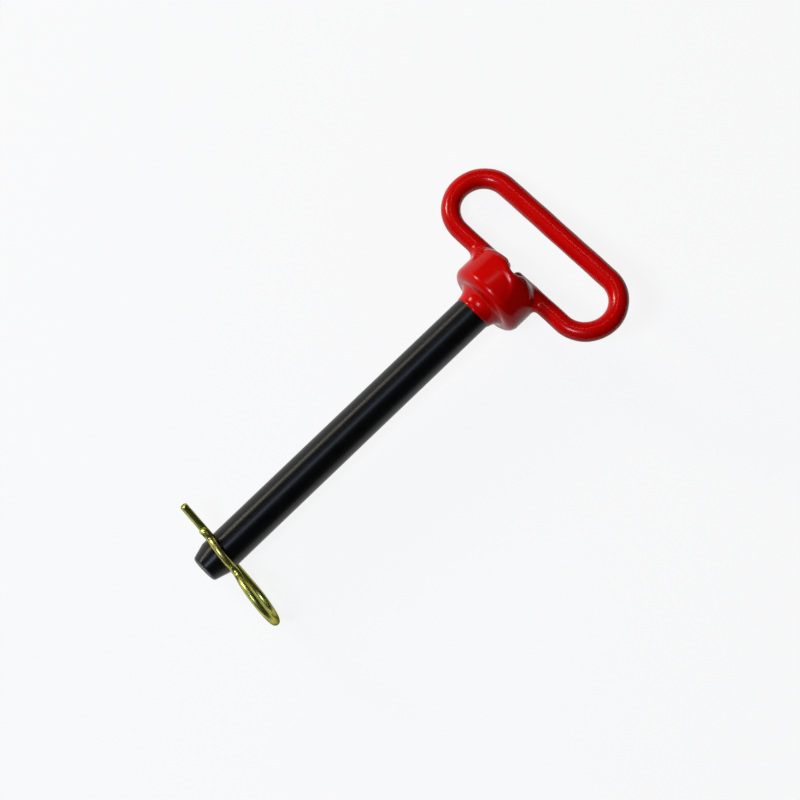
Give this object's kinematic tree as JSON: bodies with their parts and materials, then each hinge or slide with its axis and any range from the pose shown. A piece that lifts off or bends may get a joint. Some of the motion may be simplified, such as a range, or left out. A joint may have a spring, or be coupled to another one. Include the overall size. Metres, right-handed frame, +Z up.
{
  "type": "hitch pin",
  "caption": "Forged steel hitch pin with a vinyl-dipped loop handle and a hairpin clip through its bevelled end; couples a drawbar to a clevis.",
  "frame": {"origin": "centre of the bounding box, on the surface the part lies on", "axes": "+X from the bevelled tip to the handle, +Z up from the surface; the pin lies on the rim of its head, one end of its handle and the ring of its clip"},
  "size_m": [0.2474, 0.1078, 0.0431],
  "materials": {
    "black_steel": "black heat-treated and oiled steel, satin",
    "plain_steel": "mill-finish rod, hidden under the coating",
    "red_vinyl": "glossy dipped vinyl",
    "yellow_zinc": "yellow zinc plated spring wire"
  },
  "bodies": {
    "pin": {"forged_pin": "black_steel", "handle_rod": "plain_steel", "dip_coating": "red_vinyl"},
    "clip": {"hairpin_clip": "yellow_zinc"}
  },
  "joints": [
    {"name": "clip_pull", "type": "slide", "parent": "pin", "child": "clip", "axis": [0.017, -0.9177, -0.3969], "range_m": [0, 0.04], "deforming": ["hairpin_clip"]}
  ]
}
